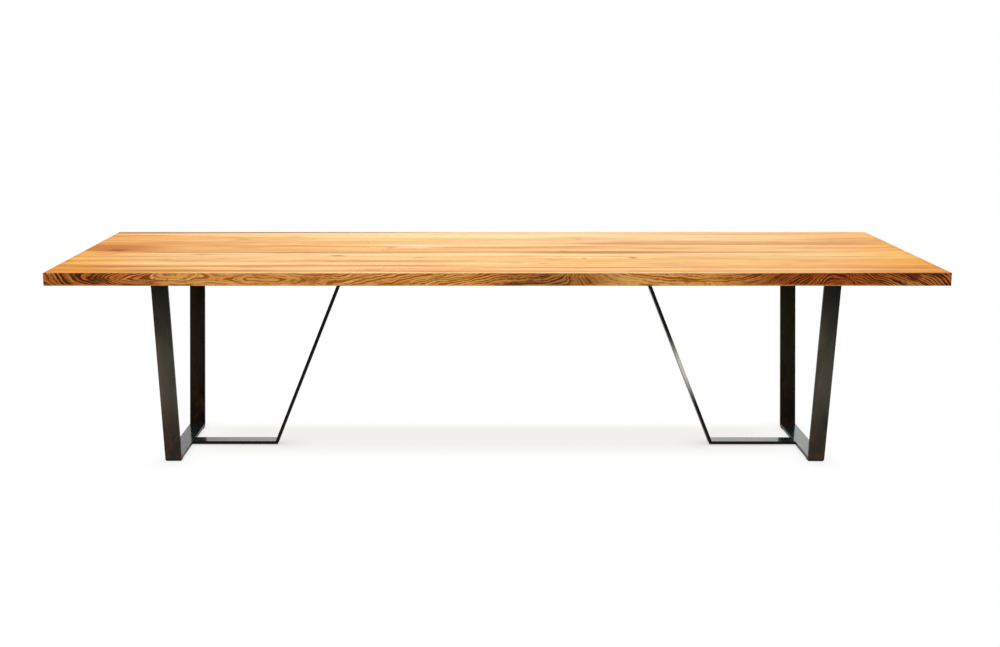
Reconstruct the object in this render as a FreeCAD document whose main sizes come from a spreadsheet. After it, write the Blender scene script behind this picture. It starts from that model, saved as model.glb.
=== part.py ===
import FreeCAD, Part
import os
import Sketcher

# Refectory table: a top of edge-glued boards on two welded frames of flat bar.
# Millimetres. +X runs along the table, +Y from its front to its rear, +Z up.
# The origin is on the floor, under the middle of the top.

doc = FreeCAD.newDocument("RefectoryTable")
sheet = doc.addObject("Spreadsheet::Sheet", "Sizes")

driving_sizes = [
    # top
    ("table_length", 3080, "top, end to end"),
    ("table_width", 1100, "top, front to rear"),
    ("table_height", 750, "floor to the face of the top"),
    ("top_thick", 45, "boards of the top"),
    ("edge_ease", 2.5, "rounding of the top's outer arrises"),
    ("front_joint_share", 0.171, "first glue line, share of the width from the front"),
    ("middle_joint_share", 0.47, "second glue line"),
    ("rear_joint_share", 0.705, "third glue line"),
    # loose tongues in the glue lines
    ("tongue_width", 36, "across the glue line"),
    ("tongue_thick", 10, "upright"),
    ("tongue_clear", 0.1, "play of a tongue in its groove, above and below"),
    ("tongue_gap", 1, "room for glue at the bottom and the ends of a groove"),
    ("groove_stop", 80, "end of a groove from the end of the top"),
    # flat bar of the frames
    ("bar_width", 60, "flat bar, wide side"),
    ("bar_thick", 12, "flat bar, narrow side"),
    ("bar_arris", 0.8, "bevel of the bar's long arrises"),
    ("end_overhang", 355, "end of the top to the middle of a frame's legs"),
    ("foot_span", 494, "outside of the legs at their feet"),
    ("top_span", 752, "outside of the legs under the top"),
    ("strut_reach", 357, "middle of the legs to the far side of a strut at its foot"),
    ("strut_rake", 283.5, "run of a strut towards the middle of the table, floor to top"),
    ("plate_length", 170, "plate on the head of a strut, across the table"),
    # floor pads
    ("pad_thick", 4, "pad under the bars"),
    ("pad_length", 45, "pad along its bar"),
    ("pad_inset", 1.5, "pad of a leg inside the outline of its floor bar"),
    ("inner_inset", 15, "pad of a strut inside the outline of its stretcher"),
    ("pad_corner", 4, "cut corners of a pad"),
    # fixings of the frames to the top
    ("rail_fixing_share", 0.72, "slots of a rail, share of half its length"),
    ("plate_fixing_inset", 20, "slots of a plate from its ends"),
    ("bolt_dia", 8, "shank of a bolt"),
    ("bolt_length", 25, "bolt under its head"),
    ("head_flats", 13, "bolt head across its flats"),
    ("head_height", 5.3, "bolt head"),
    ("hole_clear", 0.5, "hole round a shank, each side"),
    ("slot_run", 16, "travel of a bolt along its slot"),
    ("washer_dia", 24, "outside of a washer"),
    ("washer_thick", 2, "washer"),
    ("insert_dia", 12, "threaded insert, outside"),
    ("insert_length", 15, "threaded insert"),
    ("insert_clear", 0.1, "play round an insert and in its thread, each side"),
    ("bore_depth", 17, "bore for an insert"),
]

derived_sizes = [
    ("underside", "table_height - top_thick", "height of the top's lower face"),
    ("rail_face", "underside - bar_thick", "lower face of a rail"),
    ("bar_face", "pad_thick + bar_thick", "upper face of a bar on the floor"),
    ("half_foot", "foot_span / 2", "outside of a leg at its foot"),
    ("half_top", "top_span / 2", "outside of a leg under the top"),
    ("leg_run", "(half_top - half_foot) / (underside - pad_thick)", "lean of a leg"),
    ("leg_slice", "bar_thick * sqrt(1 + leg_run ^ 2)", "leg's thickness measured level"),
    ("foot_corner", "half_foot + bar_thick * leg_run - leg_slice", "inside corner at the floor bar"),
    ("top_corner", "half_top - bar_thick * leg_run - leg_slice", "inside corner at the rail"),
    ("frame_offset", "table_length / 2 - end_overhang", "middle of the table to the middle of the legs"),
    ("strut_foot", "frame_offset - strut_reach", "middle of the table to a strut's foot"),
    ("strut_run", "strut_rake / (underside - pad_thick)", "lean of a strut"),
    ("strut_slice", "bar_thick * sqrt(1 + strut_run ^ 2)", "strut's thickness measured level"),
    ("strut_corner", "strut_reach + bar_thick * strut_run - strut_slice", "inside corner at the stretcher"),
    ("head_reach", "strut_reach + (rail_face - pad_thick) * strut_run", "near side of a strut's head"),
    ("plate_reach", "head_reach - strut_slice / 2", "middle of a plate from the middle of the legs"),
    ("plate_offset", "frame_offset - plate_reach", "middle of a plate from the middle of the table"),
    ("plate_fixing", "plate_length / 2 - plate_fixing_inset", "slots of a plate from its middle"),
    ("rail_fixing", "half_top * rail_fixing_share", "slots of a rail from its middle"),
    ("hole_radius", "bolt_dia / 2 + hole_clear", "holes and slots round a shank"),
    ("head_face", "rail_face - washer_thick", "lower face of a washer"),
    ("head_radius", "head_flats / sqrt(3)", "bolt head to its corners"),
    ("groove_reach", "table_length / 2 - groove_stop", "end of a groove from the middle of the table"),
]

row = 0
for alias, number, note in driving_sizes:
    row += 1
    sheet.set(f"A{row}", note)
    sheet.set(f"B{row}", str(number))
    sheet.setAlias(f"B{row}", alias)
for alias, formula, note in derived_sizes:
    row += 1
    sheet.set(f"A{row}", note)
    sheet.set(f"B{row}", "=" + formula)
    sheet.setAlias(f"B{row}", alias)
doc.recompute()

nodes = []


def value_of(formula):
    return float(sheet.evalExpression(formula))


def new_body(label):
    body = doc.addObject("PartDesign::Body", label)
    body.Label = label
    body.AllowCompound = True
    nodes.append(body)
    return body


def place(body, x="0", y="0", z="0", turn=0):
    upright = FreeCAD.Vector(0, 0, 1)
    body.Placement = FreeCAD.Placement(FreeCAD.Vector(), FreeCAD.Rotation(upright, turn))
    body.setExpression("Placement.Base.x", x)
    body.setExpression("Placement.Base.y", y)
    body.setExpression("Placement.Base.z", z)


def origin_feature(body, role):
    return next(item for item in body.Origin.OriginFeatures if item.Role == role)


def new_sketch(body, name, role, offset="0"):
    sketch = body.newObject("Sketcher::SketchObject", name)
    sketch.AttachmentSupport = [(origin_feature(body, role), "")]
    sketch.MapMode = "FlatFace"
    sketch.setExpression("AttachmentOffset.Base.z", offset)
    return sketch


def bind(sketch, constraint, formula):
    index = sketch.addConstraint(constraint)
    sketch.setExpression(f"Constraints[{index}]", formula)


# Holds one point of a sketch at a place given by two formulas.
def pin(sketch, edge, point, x, y):
    bind(sketch, Sketcher.Constraint("DistanceX", -1, 1, edge, point, value_of(x)), x)
    bind(sketch, Sketcher.Constraint("DistanceY", -1, 1, edge, point, value_of(y)), y)


# Closed outline of straight sides through corners given in order.
def add_outline(sketch, corners):
    points = [FreeCAD.Vector(value_of(x), value_of(y), 0) for x, y in corners]
    count = len(points)
    first = sketch.GeometryCount
    for n in range(count):
        sketch.addGeometry(Part.LineSegment(points[n], points[(n + 1) % count]))
    for n in range(count):
        sketch.addConstraint(
            Sketcher.Constraint("Coincident", first + n, 2, first + (n + 1) % count, 1))
    for n, (x, y) in enumerate(corners):
        pin(sketch, first + n, 1, x, y)


def add_circle(sketch, x, y, radius):
    centre = FreeCAD.Vector(value_of(x), value_of(y), 0)
    upright = FreeCAD.Vector(0, 0, 1)
    edge = sketch.addGeometry(Part.Circle(centre, upright, value_of(radius)))
    bind(sketch, Sketcher.Constraint("Radius", edge, value_of(radius)), radius)
    pin(sketch, edge, 3, x, y)


# Slot between two round ends, from the centre of one to the centre of the other.
def add_slot(sketch, start, stop, radius):
    reach = value_of(radius)
    upright = FreeCAD.Vector(0, 0, 1)
    near = FreeCAD.Vector(value_of(start[0]), value_of(start[1]), 0)
    far = FreeCAD.Vector(value_of(stop[0]), value_of(stop[1]), 0)
    along = (far - near).normalize()
    aside = upright.cross(along) * reach
    beyond = along * reach
    left = sketch.addGeometry(Part.LineSegment(far + aside, near + aside))
    low = sketch.addGeometry(Part.Arc(near + aside, near - beyond, near - aside))
    right = sketch.addGeometry(Part.LineSegment(near - aside, far - aside))
    high = sketch.addGeometry(Part.Arc(far - aside, far + beyond, far + aside))
    sketch.addConstraint(Sketcher.Constraint("Tangent", left, 2, low, 1))
    sketch.addConstraint(Sketcher.Constraint("Tangent", low, 2, right, 1))
    sketch.addConstraint(Sketcher.Constraint("Tangent", right, 2, high, 1))
    sketch.addConstraint(Sketcher.Constraint("Tangent", high, 2, left, 1))
    sketch.addConstraint(Sketcher.Constraint("Equal", low, high))
    bind(sketch, Sketcher.Constraint("Radius", low, reach), radius)
    pin(sketch, low, 3, *start)
    pin(sketch, high, 3, *stop)


def add_pad(body, sketch, length, both_ways=False):
    pad = body.newObject("PartDesign::Pad", "Pad")
    pad.Profile = sketch
    pad.SideType = "Symmetric" if both_ways else "One side"
    pad.setExpression("Length", length)
    doc.recompute()
    return pad


# Pockets are checked: each one has to take wood or steel away.
def must_cut(body, feature, volume_before):
    body.Tip = feature
    doc.recompute()
    if feature.Shape.Volume >= volume_before:
        raise RuntimeError(f"{body.Label}: {feature.Name} cuts nothing")


def round_edges(body, feature, edges, radius):
    fillet = body.newObject("PartDesign::Fillet", "Rounding")
    fillet.Base = (feature, edges)
    fillet.setExpression("Radius", radius)
    doc.recompute()


def bevel_edges(body, feature, edges, size):
    chamfer = body.newObject("PartDesign::Chamfer", "Bevel")
    chamfer.Base = (feature, edges)
    chamfer.setExpression("Size", size)
    doc.recompute()


# Fixings of the frames to the top: x, y and whether the hole is a slot.
# Slots run across the grain, so that the boards can swell and shrink
# away from the round holes on the middle line.
def fixings_of(side):
    rail_x = f"{side} * Sizes.frame_offset"
    plate_x = f"{side} * Sizes.plate_offset"
    return [
        (rail_x, "-Sizes.rail_fixing", True),
        (rail_x, "0", False),
        (rail_x, "Sizes.rail_fixing", True),
        (plate_x, "-Sizes.plate_fixing", True),
        (plate_x, "Sizes.plate_fixing", True),
    ]


all_fixings = fixings_of(-1) + fixings_of(1)


# Side of a loose tongue, or of its groove with some play, on a joint face.
def add_tongue_side(sketch, end_play="0", face_play="0"):
    end = f"(Sizes.groove_reach - Sizes.tongue_gap + {end_play})"
    low = f"Sizes.top_thick / 2 - Sizes.tongue_thick / 2 - {face_play}"
    high = f"Sizes.top_thick / 2 + Sizes.tongue_thick / 2 + {face_play}"
    add_outline(sketch, [(f"-{end}", low), (end, low), (end, high), (f"-{end}", high)])


# Stopped groove, so that no tongue shows at the ends of the top.
def cut_groove(body, joint_face):
    volume = body.Shape.Volume
    sketch = new_sketch(body, "GrooveOutline", "XZ_Plane", joint_face)
    add_tongue_side(sketch, "Sizes.tongue_gap", "Sizes.tongue_clear")
    pocket = body.newObject("PartDesign::Pocket", "Groove")
    pocket.Profile = sketch
    pocket.SideType = "Symmetric"
    pocket.setExpression("Length", "Sizes.tongue_width + 2 * Sizes.tongue_gap")
    must_cut(body, pocket, volume)


# Blind bores in the underside, for the inserts that lie in this board.
def cut_bores(body, front, rear):
    reach = value_of("Sizes.insert_dia / 2 + Sizes.insert_clear")
    near = value_of(front) - reach
    far = value_of(rear) + reach
    places = [(x, y) for x, y, slotted in all_fixings if near < value_of(y) < far]
    if not places:
        return
    volume = body.Shape.Volume
    sketch = new_sketch(body, "BoreOutline", "XY_Plane")
    for x, y in places:
        add_circle(sketch, x, f"{y} - ({front})", "Sizes.insert_dia / 2 + Sizes.insert_clear")
    pocket = body.newObject("PartDesign::Pocket", "Bores")
    pocket.Profile = sketch
    pocket.Reversed = True
    pocket.setExpression("Length", "Sizes.bore_depth")
    must_cut(body, pocket, volume)


# One board of the top. Its own origin is on its front face, at the underside.
def make_board(label, front, rear):
    body = new_body(label)
    place(body, y=front, z="Sizes.underside")
    width = f"({rear}) - ({front})"
    section = new_sketch(body, "Section", "YZ_Plane")
    add_outline(section, [("0", "0"), (width, "0"), (width, "Sizes.top_thick"), ("0", "Sizes.top_thick")])
    plank = add_pad(body, section, "Sizes.table_length", both_ways=True)

    # Only the arrises on the outside of the top are eased, never those at a glue line.
    at_front = front == top_front
    at_rear = rear == top_rear
    end = value_of("Sizes.table_length / 2")
    across = value_of(width)
    outer = []
    for n, edge in enumerate(plank.Shape.Edges, start=1):
        middle = edge.CenterOfMass
        on_end = abs(abs(middle.x) - end) < edge.Tolerance
        on_front = abs(middle.y) < edge.Tolerance
        on_rear = abs(middle.y - across) < edge.Tolerance
        on_joint = (on_front and not at_front) or (on_rear and not at_rear)
        if (on_end or on_front or on_rear) and not on_joint:
            outer.append(f"Edge{n}")
    round_edges(body, plank, outer, "Sizes.edge_ease")

    if not at_front:
        cut_groove(body, "0")
    if not at_rear:
        cut_groove(body, f"-({width})")
    cut_bores(body, front, rear)


def make_tongue(label, joint):
    body = new_body(label)
    place(body, y=joint, z="Sizes.underside")
    sketch = new_sketch(body, "TongueOutline", "XZ_Plane")
    add_tongue_side(sketch)
    add_pad(body, sketch, "Sizes.tongue_width", both_ways=True)


# A piece of flat bar, from the outline of one side and the distance through it.
# The four arrises that run along the bar are lightly bevelled.
def make_bar(label, role, corners, along, through="Sizes.bar_width"):
    body = new_body(label)
    sketch = new_sketch(body, "SideOutline", role)
    add_outline(sketch, corners)
    bar = add_pad(body, sketch, through, both_ways=True)
    arrises = []
    for n, edge in enumerate(bar.Shape.Edges, start=1):
        run = edge.lastVertex().Point - edge.firstVertex().Point
        if run.cross(along).Length < edge.Tolerance * run.Length:
            arrises.append(f"Edge{n}")
    bevel_edges(body, bar, arrises, "Sizes.bar_arris")
    return body


# Holes and slots right through a rail or a plate.
def cut_fixings(body, places):
    volume = body.Shape.Volume
    sketch = new_sketch(body, "FixingOutline", "XY_Plane")
    for x, y, slotted in places:
        if slotted:
            start = (x, f"{y} - Sizes.slot_run / 2")
            stop = (x, f"{y} + Sizes.slot_run / 2")
            add_slot(sketch, start, stop, "Sizes.hole_radius")
        else:
            add_circle(sketch, x, y, "Sizes.hole_radius")
    pocket = body.newObject("PartDesign::Pocket", "Fixings")
    pocket.Profile = sketch
    pocket.Type = "ThroughAll"
    pocket.SideType = "Symmetric"
    must_cut(body, pocket, volume)


# Leg of a frame. It leans outward and is mitred to the floor bar and to the rail.
def make_leg(label, x, turn):
    corners = [
        ("-Sizes.half_foot", "Sizes.pad_thick"),
        ("-Sizes.foot_corner", "Sizes.bar_face"),
        ("-Sizes.top_corner", "Sizes.rail_face"),
        ("-Sizes.half_top", "Sizes.underside"),
    ]
    lean = FreeCAD.Vector(0, -value_of("Sizes.leg_run"), 1)
    body = make_bar(label, "YZ_Plane", corners, lean)
    place(body, x=x, turn=turn)


def make_floor_bar(label, x):
    corners = [
        ("-Sizes.half_foot", "Sizes.pad_thick"),
        ("Sizes.half_foot", "Sizes.pad_thick"),
        ("Sizes.foot_corner", "Sizes.bar_face"),
        ("-Sizes.foot_corner", "Sizes.bar_face"),
    ]
    body = make_bar(label, "YZ_Plane", corners, FreeCAD.Vector(0, 1, 0))
    place(body, x=x)


def make_top_rail(label, x):
    corners = [
        ("-Sizes.half_top", "Sizes.underside"),
        ("-Sizes.top_corner", "Sizes.rail_face"),
        ("Sizes.top_corner", "Sizes.rail_face"),
        ("Sizes.half_top", "Sizes.underside"),
    ]
    body = make_bar(label, "YZ_Plane", corners, FreeCAD.Vector(0, 1, 0))
    cut_fixings(body, [
        ("0", "-Sizes.rail_fixing", True),
        ("0", "0", False),
        ("0", "Sizes.rail_fixing", True),
    ])
    place(body, x=x)


# Stretcher along the floor, square against the floor bar and mitred to the strut.
def make_stretcher(label, x, turn):
    corners = [
        ("Sizes.bar_width / 2", "Sizes.pad_thick"),
        ("Sizes.strut_reach", "Sizes.pad_thick"),
        ("Sizes.strut_corner", "Sizes.bar_face"),
        ("Sizes.bar_width / 2", "Sizes.bar_face"),
    ]
    body = make_bar(label, "XZ_Plane", corners, FreeCAD.Vector(1, 0, 0))
    place(body, x=x, turn=turn)


# Strut, cut level at its head where the plate sits on it.
def make_strut(label, x, turn):
    corners = [
        ("Sizes.strut_reach", "Sizes.pad_thick"),
        ("Sizes.head_reach", "Sizes.rail_face"),
        ("Sizes.head_reach - Sizes.strut_slice", "Sizes.rail_face"),
        ("Sizes.strut_corner", "Sizes.bar_face"),
    ]
    lean = FreeCAD.Vector(value_of("Sizes.strut_run"), 0, 1)
    body = make_bar(label, "XZ_Plane", corners, lean)
    place(body, x=x, turn=turn)


def make_strut_plate(label, x, turn):
    near = "Sizes.plate_reach - Sizes.bar_width / 2"
    far = "Sizes.plate_reach + Sizes.bar_width / 2"
    corners = [
        (near, "Sizes.rail_face"),
        (far, "Sizes.rail_face"),
        (far, "Sizes.underside"),
        (near, "Sizes.underside"),
    ]
    body = make_bar(label, "XZ_Plane", corners, FreeCAD.Vector(0, 1, 0), "Sizes.plate_length")
    cut_fixings(body, [
        ("Sizes.plate_reach", "-Sizes.plate_fixing", True),
        ("Sizes.plate_reach", "Sizes.plate_fixing", True),
    ])
    place(body, x=x, turn=turn)


# Floor pad with cut corners, inside the outline of the bar above it.
def make_floor_pad(label, x, y, turn, inset):
    body = new_body(label)
    side = f"(Sizes.bar_width / 2 - {inset})"
    end = "(Sizes.pad_length / 2)"
    sketch = new_sketch(body, "PadOutline", "XY_Plane")
    add_outline(sketch, [(f"-{side}", f"-{end}"), (side, f"-{end}"), (side, end), (f"-{side}", end)])
    pad = add_pad(body, sketch, "Sizes.pad_thick")
    thick = value_of("Sizes.pad_thick")
    corners = []
    for n, edge in enumerate(pad.Shape.Edges, start=1):
        if abs(edge.BoundBox.ZLength - thick) < edge.Tolerance:
            corners.append(f"Edge{n}")
    bevel_edges(body, pad, corners, "Sizes.pad_corner")
    place(body, x=x, y=y, turn=turn)


def make_bolts(label, places):
    body = new_body(label)
    heads = new_sketch(body, "HeadOutline", "XY_Plane", "Sizes.head_face - Sizes.head_height")
    for x, y, slotted in places:
        corners = []
        for angle in range(0, 360, 60):
            corner_x = f"{x} + Sizes.head_radius * cos({angle} deg)"
            corner_y = f"{y} + Sizes.head_radius * sin({angle} deg)"
            corners.append((corner_x, corner_y))
        add_outline(heads, corners)
    add_pad(body, heads, "Sizes.head_height")
    shanks = new_sketch(body, "ShankOutline", "XY_Plane", "Sizes.head_face")
    for x, y, slotted in places:
        add_circle(shanks, x, y, "Sizes.bolt_dia / 2")
    add_pad(body, shanks, "Sizes.bolt_length")


# Washers and inserts are plain rings, one at each fixing.
def make_rings(label, places, level, outer, inner, length):
    body = new_body(label)
    sketch = new_sketch(body, "RingOutline", "XY_Plane", level)
    for x, y, slotted in places:
        add_circle(sketch, x, y, outer)
        add_circle(sketch, x, y, inner)
    add_pad(body, sketch, length)


top_front = "-Sizes.table_width / 2"
top_rear = "Sizes.table_width / 2"
front_joint = "Sizes.table_width * (Sizes.front_joint_share - 1 / 2)"
middle_joint = "Sizes.table_width * (Sizes.middle_joint_share - 1 / 2)"
rear_joint = "Sizes.table_width * (Sizes.rear_joint_share - 1 / 2)"

make_board("front_board", top_front, front_joint)
make_board("front_middle_board", front_joint, middle_joint)
make_board("rear_middle_board", middle_joint, rear_joint)
make_board("rear_board", rear_joint, top_rear)
make_tongue("front_joint_tongue", front_joint)
make_tongue("middle_joint_tongue", middle_joint)
make_tongue("rear_joint_tongue", rear_joint)

half_turn = 180
quarter_turn = 90
foot_pad = "(Sizes.half_foot - Sizes.pad_inset - Sizes.pad_length / 2)"
inner_pad = "(Sizes.strut_foot + Sizes.inner_inset + Sizes.pad_length / 2)"

# Both frames are alike: the right one is the left one turned half round.
for side, sign, facing in [("left", -1, 0), ("right", 1, half_turn)]:
    middle = f"{sign} * Sizes.frame_offset"
    make_leg(f"{side}_front_leg", middle, 0)
    make_leg(f"{side}_rear_leg", middle, half_turn)
    make_floor_bar(f"{side}_floor_bar", middle)
    make_top_rail(f"{side}_top_rail", middle)
    make_stretcher(f"{side}_stretcher", middle, facing)
    make_strut(f"{side}_strut", middle, facing)
    make_strut_plate(f"{side}_strut_plate", middle, facing)
    make_floor_pad(f"{side}_front_pad", middle, f"-{foot_pad}", 0, "Sizes.pad_inset")
    make_floor_pad(f"{side}_rear_pad", middle, foot_pad, 0, "Sizes.pad_inset")
    make_floor_pad(f"{side}_inner_pad", f"{sign} * {inner_pad}", "0", quarter_turn, "Sizes.inner_inset")
    fixings = fixings_of(sign)
    make_bolts(f"{side}_bolts", fixings)
    make_rings(
        f"{side}_washers", fixings, "Sizes.head_face",
        "Sizes.washer_dia / 2", "Sizes.hole_radius", "Sizes.washer_thick")
    make_rings(
        f"{side}_inserts", fixings, "Sizes.underside",
        "Sizes.insert_dia / 2", "Sizes.bolt_dia / 2 + Sizes.insert_clear", "Sizes.insert_length")

doc.recompute()
for item in doc.Objects:
    if "Invalid" in item.State or "Error" in item.State:
        raise RuntimeError(f"{item.Label} failed: {item.State}")
for body in nodes:
    if body.Shape.isNull() or not body.Shape.isValid():
        raise RuntimeError(f"{body.Label} has no valid shape")

os.makedirs("parts", exist_ok=True)
for body in nodes:
    body.Shape.exportStep(f"parts/{body.Label}.step")
print(f"{len(nodes)} pieces written")
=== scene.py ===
import math

import bpy
from mathutils import Matrix, Vector


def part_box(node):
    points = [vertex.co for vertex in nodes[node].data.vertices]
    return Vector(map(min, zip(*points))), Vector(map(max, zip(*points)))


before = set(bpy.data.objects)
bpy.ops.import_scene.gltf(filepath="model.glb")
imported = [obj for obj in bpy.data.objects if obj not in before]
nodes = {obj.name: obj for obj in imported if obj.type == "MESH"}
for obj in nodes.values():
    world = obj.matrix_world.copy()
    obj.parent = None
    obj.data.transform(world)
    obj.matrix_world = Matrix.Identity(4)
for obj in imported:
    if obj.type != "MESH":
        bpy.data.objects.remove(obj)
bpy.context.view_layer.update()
print("frame loaded:", len(nodes), "nodes")


# node helpers

def newTree(name):
    material = bpy.data.materials.new(name)
    material.use_nodes = True
    material.node_tree.nodes.clear()
    return material, material.node_tree


def feed(tree, socket, value):
    if isinstance(value, bpy.types.NodeSocket):
        tree.links.new(value, socket)
    else:
        socket.default_value = value


# inputs are sockets or plain values, by name or by number
def addNode(tree, kind, inputs=None, **settings):
    made = tree.nodes.new("ShaderNode" + kind)
    for key, value in settings.items():
        setattr(made, key, value)
    for key, value in (inputs or {}).items():
        feed(tree, made.inputs[key], value)
    return made


def calc(tree, operation, *values):
    return addNode(tree, "Math", dict(enumerate(values)), operation=operation).outputs[0]


def times(tree, first, *others):
    for other in others:
        first = calc(tree, "MULTIPLY", first, other)
    return first


def squares(tree, first, second):
    return calc(tree, "ADD", times(tree, first, first), times(tree, second, second))


# distance of a value from a middle, counted in half widths
def offBy(tree, value, middle, half):
    return calc(tree, "DIVIDE", calc(tree, "SUBTRACT", value, middle), half)


# value carried from one range to another, held at both ends
def ranged(tree, value, low, high, newLow=0.0, newHigh=1.0, kind="SMOOTHSTEP"):
    inputs = {"Value": value, "From Min": low, "From Max": high, "To Min": newLow, "To Max": newHigh}
    return addNode(tree, "MapRange", inputs, interpolation_type=kind).outputs[0]


def linear(tree, value, low, high, newLow, newHigh):
    return ranged(tree, value, low, high, newLow, newHigh, "LINEAR")


# value turned into a swing to either side of zero
def swing(tree, value, reach, low=0.0, high=1.0):
    return linear(tree, value, low, high, -reach, reach)


# 1 between start and stop, fading a little outside and inside both
def stretch(tree, value, start, stop, outside, inside):
    return times(tree, ranged(tree, value, start - outside, start + inside),
                 ranged(tree, value, stop - inside, stop + outside, 1.0, 0.0))


# scale is one number, or one for each axis
def noise(tree, place, scale, detail, rough=0.5, offset=(0.0, 0.0, 0.0), warp=0.0):
    if isinstance(scale, tuple):
        place = addNode(tree, "Mapping", {"Vector": place, "Scale": scale, "Location": offset}).outputs[0]
        scale = 1.0
    inputs = {"Vector": place, "Scale": scale, "Detail": detail, "Roughness": rough, "Distortion": warp}
    return addNode(tree, "TexNoise", inputs).outputs["Fac"]


# a chance number for each whole number that the value passes
def chance(tree, value):
    made = addNode(tree, "TexWhiteNoise", noise_dimensions="1D")
    feed(tree, made.inputs["W"], calc(tree, "FLOOR", value))
    return made.outputs["Value"]


def mixColour(tree, share, first, second, mode="MIX"):
    made = addNode(tree, "Mix", {"Factor": share}, data_type="RGBA", blend_type=mode)
    for socket, value in ((made.inputs[6], first), (made.inputs[7], second)):
        feed(tree, socket, value if isinstance(value, bpy.types.NodeSocket) else (*value, 1.0))
    return made.outputs[2]


def ramp(tree, value, stops):
    made = addNode(tree, "ValToRGB", {"Fac": value})
    steps = made.color_ramp.elements
    while len(steps) < len(stops):
        steps.new(1.0)
    for step, (at, colour) in zip(steps, stops):
        step.position = at
        step.color = (*colour, 1.0)
    return made.outputs["Color"]


# a drawn curve over 0 to 1, its heights between low and high
def drawn(tree, value, points, low, high):
    made = addNode(tree, "FloatCurve", {"Value": value})
    curve = made.mapping.curves[0]
    while len(curve.points) < len(points):
        curve.points.new(0.5, 0.5)
    for point, (at, height) in zip(curve.points, points):
        point.location = (at, (height - low) / (high - low))
        point.handle_type = "AUTO_CLAMPED"
    made.mapping.update()
    return linear(tree, made.outputs[0], 0.0, 1.0, low, high)


def joined(tree, *values):
    return addNode(tree, "CombineXYZ", dict(enumerate(values))).outputs[0]


def parted(tree, vector):
    return addNode(tree, "SeparateXYZ", {0: vector}).outputs


def objectPlace(tree):
    return addNode(tree, "TexCoord").outputs["Object"]


def finishMaterial(tree, colour, rough, height, depth, others=None):
    bump = addNode(tree, "Bump", {"Strength": 1.0, "Distance": depth, "Height": height})
    inputs = {"Base Color": colour, "Roughness": rough, "Normal": bump.outputs[0], **(others or {})}
    shader = addNode(tree, "BsdfPrincipled", inputs)
    addNode(tree, "OutputMaterial", {"Surface": shader.outputs[0]})


def dress(material, *names):
    for name in names:
        slots = nodes[name].data.materials
        slots.clear()
        slots.append(material)


# top: one wood for each board, with rings round a pith of its own and streaks along the grain

topLook = {
    "pale": (0.98, 0.63, 0.28),
    "honey": (0.84, 0.43, 0.110),
    "orange": (0.80, 0.33, 0.055),
    "brown": (0.46, 0.165, 0.024),
    "streak": (0.43, 0.150, 0.021),
    "dark": (0.17, 0.055, 0.011),
    "knot": (0.27, 0.085, 0.012),
    # painted sheen: a pale tone laid where the top shows a soft highlight
    "paintedSheen": (1.0, 0.74, 0.48),
    "burr": (0.54, 0.175, 0.016),
    "leftEnd": ((1.0, 0.82, 0.45), 0.42),  # tint, reach
    "rightEnd": ((1.0, 0.85, 0.44), 0.44),
    "rim": ((1.0, 0.86, 0.62), 0.035),
    "endFade": ((0.50, 0.95), 0.35),  # depths over which the end tints fade, what the rear keeps of them
    "endGrain": (0.62, 0.50, 0.40),
    "skin": (0.0006, 0.0024),  # how deep the end grain and the long edges' figure reach
    "wander": 0.034,
    "ringWidth": 0.0052,
    "ringWaver": 4.0,
    "ringStrength": 0.25,
    "poreStrength": 0.35,
    "roughness": (0.36, 0.50),
    "specular": 0.05,
    "relief": {"pores": -1.0, "rings": 0.4, "edgeLines": -0.4},  # in parts of the bump
    "bump": 0.00015,
}
frontLow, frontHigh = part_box("front_board")
topLength = frontHigh.x - frontLow.x
topFront = frontLow.y
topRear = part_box("rear_board")[1].y
topDepth = topRear - topFront
topUnder = frontLow.z
topFace = frontHigh.z

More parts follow.
